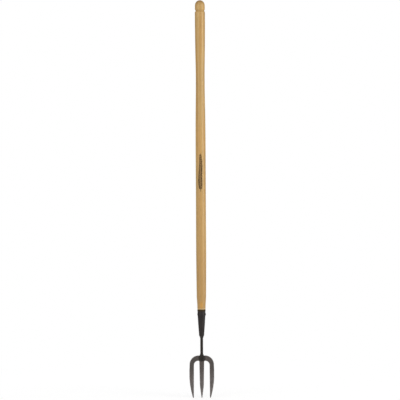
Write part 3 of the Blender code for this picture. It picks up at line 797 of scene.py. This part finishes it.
def build_socket_bead():
    """Fillet ring under the socket, with a ripple for each pulse of the weld."""
    top = collar_bead_high.z + SINK
    drop = top - collar_bead_low.z
    width = collar_bead_high.x - NECK_RADIUS
    shape = [(BEAD_ROOT, 0.0), (1.0, 0.0), *bead_arc(0.85, 0.95), (BEAD_ROOT, 1.0), (BEAD_ROOT, 0.5)]
    rings = []
    for i in range(SOCKET_BEAD_SIDES):
        angle = tau * i / SOCKET_BEAD_SIDES
        wander = 0.06 * sin(3.0 * angle + 0.8) + 0.05 * sin(7.0 * angle)
        ring = []
        for out, down in shape:
            wave = ripple(angle / tau * SOCKET_BEAD_PULSES - 0.45 * down, 1.0)
            size = 0.90 + 0.17 * wave + wander
            radius = NECK_RADIUS + width * out * (size if out > 0.0 else 1.0)
            ring.append((radius * cos(angle), radius * sin(angle), top - drop * down * size))
        rings.append(ring)
    place(skin("socket_bead", rings, closed=True), "socket_weld", weld_steel())


def foot_path():
    """(x, z, outward x, outward z) round the foot, from its top right down and up to its top left."""
    end_height = FOOT_WIDEST - FOOT_BOTTOM
    top = foot_bead_high.z
    right = [(neck_half_width(z), z, 1.0, 0.0) for z in [top] + steps(top, FOOT_WIDEST, 18)[:-1]]
    for angle in [0.0] + steps(0.0, pi / 2, 44):
        c, s = cos(angle), sin(angle)
        out = Vector((c / FOOT_HALF_WIDTH, s / end_height)).normalized()
        right.append((FOOT_HALF_WIDTH * c, FOOT_WIDEST - end_height * s, out.x, -out.y))
    left = [(-x, z, -out_x, out_z) for x, z, out_x, out_z in reversed(right[:-1])]
    return right + left


def build_foot_bead():
    """Fillet bead round the foot of the neck, on the front of the crown."""
    width = foot_bead_high.x - FOOT_HALF_WIDTH - 0.3 * MM
    rise = foot_bead_high.y - foot_bead_low.y
    seat = CROWN_OFFSET - CROWN_THICKNESS / 2
    shape = [(BEAD_ROOT, BEAD_SUNK), (0.5, BEAD_SUNK), (1.0, BEAD_SUNK / 2), (1.0, 0.0)]
    shape += [*bead_arc(0.9, 0.9), (BEAD_ROOT, 1.0), (BEAD_ROOT, 0.4)]
    path = foot_path()
    run = [0.0]
    for a, b in zip(path, path[1:]):
        run.append(run[-1] + dist(a[:2], b[:2]))
    rings = []
    for (x, z, out_x, out_z), distance in zip(path, run):
        to_end = min(distance, run[-1] - distance)
        taper = sqrt(max(1.0 - max(1.0 - to_end / FOOT_BEAD_TAPER, 0.0) ** 2, 0.03))
        wander = 0.07 * dents((x, 0.0, z), 3.0 * MM, 31.0)
        ring = []
        for out, up in shape:
            wave = ripple(distance + 0.7 * MM * up, FOOT_BEAD_PITCH)
            size = taper * (0.86 + 0.14 * wave + wander)
            reach = width * out * (size if out > 0.0 else 1.0)
            depth = seat - rise * up * (size if up > 0.0 else 1.0)
            ring.append((x + out_x * reach, depth, z + out_z * reach))
        rings.append(ring)
    place(skin("foot_bead", rings), "foot_weld", weld_steel())


def build_seam_bead():
    """Low bead along the back of the seam between yoke and centre tine."""
    seat = yoke_high.y - SINK
    foot = yoke_high.y - SEAM_BEAD_SINK
    rise = seam_bead_high.y - foot
    middle = (seam_bead_low.z + seam_bead_high.z) / 2
    half_height = (seam_bead_high.z - seam_bead_low.z) / 2
    half_length = seam_bead_high.x
    rings = []
    for along in np.linspace(-1.0, 1.0, 150):
        swell = sqrt(max(1.0 - abs(along) ** 5, 0.012))
        x = half_length * along
        wander = 0.05 * dents((x, 0.0, 0.0), 4.0 * MM, 41.0)
        ring = [(x, seat, middle - half_height * 0.8 * swell)]
        for turn in np.linspace(0.0, pi, 21):
            wave = ripple(x + half_length + 0.8 * MM * sin(turn), SEAM_BEAD_PITCH)
            size = swell * (0.85 + 0.15 * wave + wander)
            depth = foot + rise * size * sin(turn)
            ring.append((x, min(depth, seam_bead_high.y), middle - half_height * size * cos(turn)))
        ring.append((x, seat, middle + half_height * 0.8 * swell))
        rings.append(ring)
    place(skin("seam_bead", rings), "seam_weld", weld_steel())


# Materials


class NodeTree:
    """A node tree, with short calls for its usual nodes."""

    def __init__(self, tree):
        self.tree = tree

    def add(self, kind, inputs=None, **settings):
        node = self.tree.nodes.new("ShaderNode" + kind)
        for name, value in settings.items():
            setattr(node, name, value)
        for name, value in (inputs or {}).items():
            self.feed(node.inputs[name], value)
        return node

    def feed(self, socket, value):
        if isinstance(value, bpy.types.NodeSocket):
            self.tree.links.new(value, socket)
        else:
            socket.default_value = value

    def math(self, operation, *values, clamp=False):
        node = self.add("Math", operation=operation, use_clamp=clamp)
        for socket, value in zip(node.inputs, values):
            self.feed(socket, value)
        return node.outputs[0]

    def times(self, value, other, clamp=False):
        return self.math("MULTIPLY", value, other, clamp=clamp)

    def plus(self, value, *terms):
        """value and then each term times the share that follows it, added up."""
        for other, share in zip(terms[::2], terms[1::2]):
            value = self.math("ADD", value, self.times(other, share))
        return value

    def apart(self, a, b):
        """Distance between two numbers."""
        return self.math("ABSOLUTE", self.math("SUBTRACT", a, b))

    def squares(self, x, y):
        """The square of x plus the square of y."""
        return self.math("ADD", self.math("POWER", x, 2.0), self.math("POWER", y, 2.0))

    def span(self, value, low, high, to_high=1.0, to_low=0.0):
        """value taken from low..high to to_low..to_high with soft ends."""
        node = self.add("MapRange", interpolation_type="SMOOTHSTEP")
        for socket, number in zip(node.inputs, (value, low, high, to_low, to_high)):
            self.feed(socket, number)
        return node.outputs[0]

    def choose(self, share, a, b):
        """The surface or background a where share is 0, and b where it is 1."""
        return self.add("MixShader", {0: share, 1: a.outputs[0], 2: b.outputs[0]})


class Shader(NodeTree):
    """A Principled material in the object's own coordinates. Its tone starts as one colour."""

    def __init__(self, name, colour):
        self.material = bpy.data.materials.new(name)
        self.material.use_nodes = True
        super().__init__(self.material.node_tree)
        self.surface = self.tree.nodes["Principled BSDF"]
        self.place = self.add("TexCoord").outputs["Object"]
        self.x, self.y, self.z = self.add("SeparateXYZ", {"Vector": self.place}).outputs
        self.tone = colour

    def set(self, **inputs):
        """Feeds the Principled node its tone and other inputs, with _ for each space in a name."""
        for name, value in {"Base Color": self.tone, **inputs}.items():
            self.feed(self.surface.inputs[name.replace("_", " ")], value)

    def noise(self, across, along, detail=2.0, roughness=0.5, distortion=0.0, shift=0.0, at=None, depth=None):
        """Noise from about 0 to 1, in bumps per metre: across is for X and Y, along for Z, depth for Y alone.

        The axes are the object's own, or those of at.
        """
        scale = (across, depth or across, along)
        spread = self.add("Mapping", {"Vector": at or self.place, "Scale": scale})
        spread.inputs["Location"].default_value = (shift, 0.7 * shift, -1.3 * shift)
        looks = {"Scale": 1.0, "Detail": detail, "Roughness": roughness, "Distortion": distortion}
        return self.add("TexNoise", {"Vector": spread.outputs[0], **looks}).outputs[0]

    def ramp(self, value, stops):
        """Greys at places from 0 to 1."""
        node = self.add("ValToRGB", {"Fac": value})
        ramp = node.color_ramp
        while len(ramp.elements) < len(stops):
            ramp.elements.new(0.5)
        for element, (position, grey) in zip(ramp.elements, stops):
            element.position = position
            element.color = (grey, grey, grey, 1.0)
        return node.outputs[0]

    def paint(self, share, colour):
        """Lays a colour over the tone: not at all where share is 0, wholly where it is 1."""
        node = self.add("Mix", data_type="RGBA")
        for index, value in ((0, share), (6, self.tone), (7, colour)):
            if isinstance(value, tuple):
                value = (*value, 1.0)
            self.feed(node.inputs[index], value)
        self.tone = node.outputs[2]

    def mark(self, name, output="Fac"):
        """A mesh attribute, as a number or as a vector."""
        return self.add("Attribute", attribute_name=name).outputs[output]

    def bump(self, height, distance, strength):
        inputs = {"Height": height, "Distance": distance, "Strength": strength}
        return self.add("Bump", inputs).outputs[0]


def growth_rings(s):
    """Early wood from 0 to 1, in wavering rings about a pith to the left of and behind the shaft."""
    sway = s.span(s.noise(9.0, 2.1, 1.0), 0.25, 0.75, 1.0, -1.0)
    wander = s.span(s.noise(30.0, 6.5, shift=4.0), 0.25, 0.75, 1.0, -1.0)
    off_x = s.plus(s.x, sway, 5.0 * MM, wander, 0.7 * MM, s.z, -0.006)
    off_x = s.math("SUBTRACT", off_x, PITH_X)
    off_y = s.math("SUBTRACT", s.plus(s.y, s.z, 0.009), PITH_Y)
    uneven = s.noise(60.0, 1.2, 1.0, shift=9.0)
    reach = s.plus(s.math("SQRT", s.squares(off_x, off_y)), uneven, 1.3 * MM)
    ring = s.math("FRACT", s.math("DIVIDE", reach, RING_WIDTH))
    return s.ramp(ring, ((0.0, 0.0), (0.10, 1.0), (0.34, 0.55), (0.62, 0.12), (1.0, 0.0)))


def paint_ash(s, early, fibre, pores, patch):
    """Warm and pale streaks, a warmer one down the front, and the rings, fibre and pores over them."""
    aside = s.apart(s.x, -1.0 * MM)
    heart = s.times(s.span(aside, 7.5 * MM, 1.0 * MM), s.span(s.y, 2.0 * MM, -6.0 * MM))
    streak = s.plus(s.noise(95.0, 2.6, 2.0, 0.55, shift=12.0), heart, 0.07)
    line = s.noise(270.0, 2.2, shift=23.0)
    fine = s.noise(2400.0, 60.0, 2.0, 0.6, shift=2.0)
    rings = s.times(early, s.span(patch, 0.2, 0.8, 0.62, 0.34))
    s.paint(s.span(streak, 0.38, 0.64), (0.580, 0.325, 0.088))
    s.paint(s.span(line, 0.50, 0.64, 0.42), (0.470, 0.262, 0.074))
    s.paint(s.span(line, 0.47, 0.34, 0.50), (0.700, 0.490, 0.185))
    s.paint(s.span(patch, 0.35, 0.70, 0.34), (0.500, 0.335, 0.118))
    s.paint(rings, (0.330, 0.185, 0.072))
    s.paint(s.span(fibre, 0.30, 0.70, 0.16), (0.330, 0.200, 0.085))
    s.paint(s.times(pores, 0.62), (0.135, 0.070, 0.028))
    s.paint(s.span(fine, 0.60, 0.74, 0.20), (0.700, 0.520, 0.260))


def paint_ash_ends(s, patch):
    """The darker groove and end grain, the redder foot, and a painted highlight and painted shadow on the
    wood just above the steel.
    """
    groove = s.apart(s.z, groove_height())
    s.paint(s.span(groove, 3.4 * MM, 0.4 * MM, 0.12), (0.330, 0.200, 0.075))
    end_grain = s.span(s.z, shaft_high.z - 16.0 * MM, shaft_high.z - 0.5 * MM, 0.55)
    s.paint(end_grain, (0.270, 0.155, 0.062))
    foot = s.span(s.plus(s.z, patch, 30.0 * MM), 540.0 * MM, 380.0 * MM, 0.78)
    s.paint(foot, (0.440, 0.250, 0.078))

    spot_x = s.math("DIVIDE", s.math("ADD", s.x, 0.5 * MM), 7.0 * MM)
    spot_z = s.math("DIVIDE", s.math("SUBTRACT", s.z, socket_high.z + 14.0 * MM), 13.0 * MM)
    spot = s.span(s.squares(spot_x, spot_z), 1.0, 0.0, 0.72)
    orange = s.times(spot, s.span(s.y, 0.0, -4.0 * MM))
    s.paint(orange, (0.560, 0.280, 0.050))
    # painted highlight: a pale line on the wood's rounded shoulder a little above the socket
    rim = s.apart(s.z, socket_high.z + 2.2 * MM)
    s.paint(s.span(rim, 1.8 * MM, 0.6 * MM, 0.55), (0.610, 0.470, 0.260))
    # painted shadow: the wood darkened in the step just above the socket's rim
    step_shadow = s.span(s.z, socket_high.z + 1.6 * MM, socket_high.z, 0.75)
    s.paint(step_shadow, (0.180, 0.110, 0.050))


def ash_wood():
    """Growth rings, open pores in the early wood, fibre, and a satin varnish, smoother on the grip."""
    s = Shader("ash_wood", (0.625, 0.408, 0.140))
    early = growth_rings(s)
    fibre = s.noise(900.0, 14.0, 3.0, 0.6)
    pores = s.times(s.span(s.noise(1500.0, 75.0, 1.0, shift=6.0), 0.58, 0.68), early)
    patch = s.noise(22.0, 5.5, shift=15.0)
    handled = s.span(s.z, 800.0 * MM, 1020.0 * MM, -0.07)
    relief = s.math("SUBTRACT", s.times(fibre, 0.35), pores)
    paint_ash(s, early, fibre, pores, patch)
    paint_ash_ends(s, patch)
    s.set(
        Roughness=s.plus(0.36, fibre, 0.18, early, 0.08, patch, handled),
        Coat_Weight=0.22,
        Coat_Roughness=0.28,
        Specular_IOR_Level=0.38,
        Normal=s.bump(s.plus(relief, early, -0.30), 0.09 * MM, 0.75),
    )
    return s.material


def burned_wood():
    """Charred brown, uneven where the wood was harder."""
    s = Shader("burned_wood", (0.030, 0.014, 0.005))
    grain = s.noise(1100.0, 35.0, 2.0, 0.6)
    patch = s.noise(260.0, 90.0, shift=3.0)
    s.paint(s.span(grain, 0.42, 0.72), (0.066, 0.032, 0.011))
    s.paint(s.span(patch, 0.55, 0.80, 0.55), (0.115, 0.058, 0.020))
    s.set(
        Roughness=s.plus(0.55, grain, 0.25),
        Specular_IOR_Level=0.18,
        Normal=s.bump(grain, 0.06 * MM, 0.7),
    )
    return s.material


def rubbed(s, across, along, roughness, strength):
    """How far the surface is rubbed through, in broken patches where the wear mark says."""
    broken = s.span(s.noise(across, along, 3.0, roughness, shift=17.0), 0.40, 0.62)
    return s.times(s.times(s.mark("wear"), broken), strength, clamp=True)


def coated_steel(name, dark, light, bare, rough=0.46, metal=0.25, brown=None):
    """Satin lacquer over steel: faint mottling and orange peel, rubbed through where the wear mark says.

    From the height brown upwards, the coat is browner and hardly shines.
    """
    s = Shader(name, dark)
    mottle = s.noise(70.0, 55.0, 4.0, 0.62)
    speck = s.noise(1300.0, 1300.0, 2.0, 0.6, shift=5.0)
    peel = s.noise(620.0, 620.0, shift=8.0)
    tint = s.noise(28.0, 20.0, 1.0, shift=1.0)
    scuff = s.noise(420.0, 30.0, 3.0, 0.7, 0.4, shift=11.0)
    worn = rubbed(s, 760.0, 760.0, 0.6, 0.55)
    tinted = (dark[0] * 1.25, dark[1] * 0.95, dark[2] * 1.20)
    s.paint(s.span(mottle, 0.32, 0.70), light)
    s.paint(s.span(tint, 0.40, 0.62, 0.30), tinted)
    s.paint(s.span(speck, 0.66, 0.80, 0.35), tuple(2.1 * c for c in light))
    s.paint(s.span(scuff, 0.66, 0.80, 0.30), tuple(1.9 * c for c in light))
    shine = 0.34
    if brown:
        band = s.span(s.z, brown - 3.0 * MM, brown + 1.0 * MM)
        s.paint(s.times(band, 0.9), (0.050, 0.0325, 0.0125))
        shine = s.plus(shine, band, -0.29)
    s.paint(worn, bare)
    relief = s.plus(s.times(peel, 0.6), speck, 0.2, worn, -0.7)
    s.set(
        Metallic=s.plus(metal, worn, 0.7),
        Roughness=s.plus(rough - 0.10, mottle, 0.20, scuff, 0.08),
        Specular_IOR_Level=shine,
        Normal=s.bump(relief, 0.05 * MM, 0.8),
    )
    return s.material


def painted_crown_shade(s, mottle):
    """Painted shade on the crown round the foot of the neck, ragged at its edge and fainter at the back."""
    flat = s.add("CombineXYZ", {"X": s.x, "Y": 0.0, "Z": s.z}).outputs[0]
    away = s.add("VectorMath", {0: flat, 1: CROWN_SHADE_MIDDLE}, operation="DISTANCE").outputs["Value"]
    scale = s.span(s.plus(away, mottle, 4.0 * MM), 14.5 * MM, 8.5 * MM, 0.86)
    return s.times(scale, s.span(s.y, 11.0 * MM, 7.0 * MM, 1.0, 0.55))


@functools.cache
def tine_steel():
    """Grey forged steel with painted light that makes it lighter towards the points, grinding marks and
    scratches along the tines.
    """
    s = Shader("tine_steel", (0.083, 0.073, 0.0665))
    grain = s.mark("grain", "Vector")
    mottle = s.noise(85.0, 60.0, 4.0, 0.60)
    brush = s.noise(1300.0, 30.0, 3.0, 0.65, at=grain)
    scratch = s.noise(2600.0, 42.0, 2.0, 0.6, 0.15, shift=7.0, at=grain, depth=500.0)
    scratch = s.span(scratch, 0.64, 0.72)
    speck = s.noise(1200.0, 1200.0, 2.0, 0.6, shift=3.0)
    tint = s.noise(34.0, 18.0, 1.0, shift=13.0)
    crown_shade = painted_crown_shade(s, mottle)
    worn = rubbed(s, 420.0, 160.0, 0.65, 0.85)
    fresh = s.times(scratch, s.span(s.z, 90.0 * MM, 10.0 * MM, 0.40, 0.08))
    # painted light: lighter towards the points, where the tines sweep forward and face more of the light
    s.paint(s.span(s.z, 88.0 * MM, 52.0 * MM), (0.143, 0.127, 0.120))
    s.paint(s.span(mottle, 0.30, 0.72, 0.45), (0.062, 0.054, 0.050))
    s.paint(s.span(tint, 0.42, 0.62, 0.35), (0.125, 0.098, 0.088))
    s.paint(s.span(brush, 0.52, 0.78, 0.28), (0.215, 0.198, 0.188))
    s.paint(fresh, (0.31, 0.295, 0.28))
    s.paint(s.span(speck, 0.66, 0.82, 0.40), (0.045, 0.038, 0.035))
    # painted shade: the crown darkened round the foot of the neck
    s.paint(crown_shade, (0.024, 0.0195, 0.017))
    s.paint(worn, (0.25, 0.235, 0.22))
    relief = s.plus(s.times(brush, 0.5), mottle, 0.6, scratch, -0.35)
    s.set(
        Metallic=s.plus(0.45, worn, 0.5),
        Roughness=s.plus(0.36, mottle, 0.22, crown_shade, 0.10, worn, -0.12),
        Specular_IOR_Level=0.45,
        Normal=s.bump(relief, 0.07 * MM, 0.7),
    )
    return s.material


@functools.cache
def weld_steel():
    """Coated weld metal, rough, with a little heat colour."""
    s = Shader("weld_steel", (0.018, 0.0155, 0.0138))
    mottle = s.noise(240.0, 240.0, 3.0, 0.6)
    speck = s.noise(1500.0, 1500.0, 2.0, 0.6, shift=5.0)
    s.paint(s.span(mottle, 0.32, 0.70), (0.034, 0.0285, 0.025))
    s.paint(s.span(speck, 0.64, 0.80, 0.5), (0.085, 0.075, 0.068))
    s.set(
        Metallic=0.35,
        Roughness=s.plus(0.42, mottle, 0.24),
        Normal=s.bump(s.math("ADD", mottle, speck), 0.05 * MM, 0.8),
    )
    return s.material


# The object

build_shaft()
build_frond()
build_socket()
build_rivet()
build_neck()
build_yoke()
build_centre_tine()
build_socket_bead()
build_foot_bead()
build_seam_bead()


# Floor, light and camera


def build_floor():
    """A wide pale floor: soft shadows round the fork, and plain white to the camera further out.

    The camera sees it no brighter than white, because anything brighter eats into the edges of dark steel.
    """
    size = FLOOR_HALF_SIZE
    mesh = bpy.data.meshes.new("studio_floor")
    corners = [(-size, -size, 0.0), (size, -size, 0.0), (size, size, 0.0), (-size, size, 0.0)]
    mesh.from_pydata(corners, [], [(0, 1, 2, 3)])
    s = Shader("studio_floor", (0.84,) * 3)
    s.paint(s.noise(3.0, 3.0), (0.88,) * 3)
    s.set(Roughness=0.9, Specular_IOR_Level=0.1)
    matt = s.add("BsdfDiffuse", {"Color": FLOOR_GREY})
    glow = s.add("Emission", {"Color": WHITE, "Strength": FLOOR_GLOW})
    near = s.add("AddShader", {0: matt.outputs[0], 1: glow.outputs[0]})
    far = s.add("Emission", {"Color": WHITE, "Strength": 1.0})
    away = s.math("SQRT", s.squares(s.x, s.y))
    lit = s.choose(s.span(away, *FLOOR_FADE), near, far)
    by_camera = s.add("LightPath").outputs["Is Camera Ray"]
    seen = s.choose(by_camera, s.surface, lit)
    s.feed(s.tree.nodes["Material Output"].inputs["Surface"], seen.outputs[0])
    mesh.materials.append(s.material)
    linked("studio_floor", mesh)


def build_world():
    """White to the camera. It lights the fork more from the front than from behind."""
    world = bpy.data.worlds.new("studio")
    world.use_nodes = True
    world.node_tree.nodes.clear()
    s = NodeTree(world.node_tree)
    direction = s.add("TexCoord").outputs["Generated"]
    back = s.add("SeparateXYZ", {0: direction}).outputs["Y"]
    rays = s.add("LightPath").outputs
    on_matt = s.span(back, -0.9, 0.75, 0.36, 0.72)
    on_shiny = s.span(back, -0.6, 0.55, 0.12, 0.62)
    strength = s.add("Mix", {0: rays["Is Glossy Ray"], 2: on_matt, 3: on_shiny}).outputs[0]
    soft = s.add("Background", {"Color": WHITE, "Strength": strength})
    white = s.add("Background", {"Color": WHITE, "Strength": 1.0})
    seen = s.choose(rays["Is Camera Ray"], soft, white)
    s.add("OutputWorld", {0: seen.outputs[0]})
    bpy.context.scene.world = world


def add_light(name, at, width, height, power, reflected):
    """A rectangular light that shines on the fork from at."""
    data = bpy.data.lights.new(name, "AREA")
    data.shape = "RECTANGLE"
    data.size = width
    data.size_y = height
    data.energy = power
    light = linked(name, data)
    light.location = at
    light.rotation_mode = "QUATERNION"
    light.rotation_quaternion = (Vector(LIGHT_AIM) - Vector(at)).to_track_quat("-Z", "Y")
    light.visible_camera = False
    light.visible_glossy = reflected


def build_camera():
    """In front of the fork, level with its middle, and rolled a little."""
    data = bpy.data.cameras.new("camera")
    data.sensor_width = 36.0
    data.lens = 137.7
    camera = linked("camera", data)
    camera.location = CAMERA_PLACE
    camera.rotation_euler = (pi / 2, radians(CAMERA_ROLL), 0.0)
    bpy.context.scene.camera = camera


build_floor()
build_world()
for light in LIGHTS:
    add_light(*light)
build_camera()
bpy.context.scene.view_settings.view_transform = "Standard"
